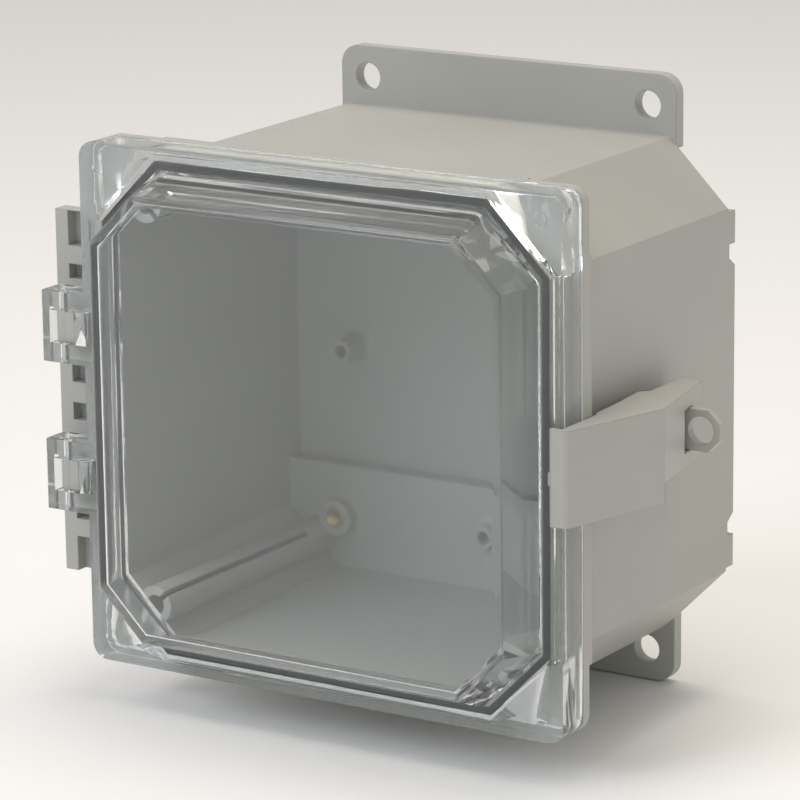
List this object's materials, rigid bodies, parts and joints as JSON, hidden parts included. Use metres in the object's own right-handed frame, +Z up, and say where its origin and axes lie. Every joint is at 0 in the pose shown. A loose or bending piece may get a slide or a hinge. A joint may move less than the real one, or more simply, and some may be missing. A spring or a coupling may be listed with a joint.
{
  "type": "hinged wall enclosure",
  "caption": "Moulded wall-mounting enclosure with a clear domed cover on a left-hand hinge, a swinging latch lever with padlock eye, and brass panel inserts.",
  "frame": {"origin": "middle of the four wall holes, on the back plane that meets the wall", "axes": "+X to the right as seen from the front, +Y into the wall, +Z up; the cover faces -Y, the hinge is on the -X side and the latch on the +X side"},
  "size_m": [0.2158, 0.1327, 0.2014],
  "materials": {
    "grey_moulding": "fine satin moulded",
    "clear_moulding": "clear polished",
    "seal": "soft seal",
    "steel_pin": "drawn pin",
    "brass_insert": "turned"
  },
  "bodies": {
    "base": {"enclosure_base": "grey_moulding", "hinge_pin_upper": "steel_pin", "hinge_pin_lower": "steel_pin", "latch_pin": "steel_pin", "insert_tl": "brass_insert", "insert_tr": "brass_insert", "insert_bl": "brass_insert", "insert_br": "brass_insert"},
    "cover": {"clear_cover": "clear_moulding", "cover_gasket": "seal"},
    "latch": {"latch_lever": "grey_moulding"}
  },
  "joints": [
    {"name": "cover_hinge", "type": "hinge", "parent": "base", "child": "cover", "pos_m": [-0.098, -0.1133, -0.00105], "axis": [0, 0, -1], "range_deg": [0, 100]},
    {"name": "latch_pivot", "type": "hinge", "parent": "base", "child": "latch", "pos_m": [0.0903, -0.0475, 0.0019], "axis": [0, 0, 1], "range_deg": [0, 20]}
  ]
}
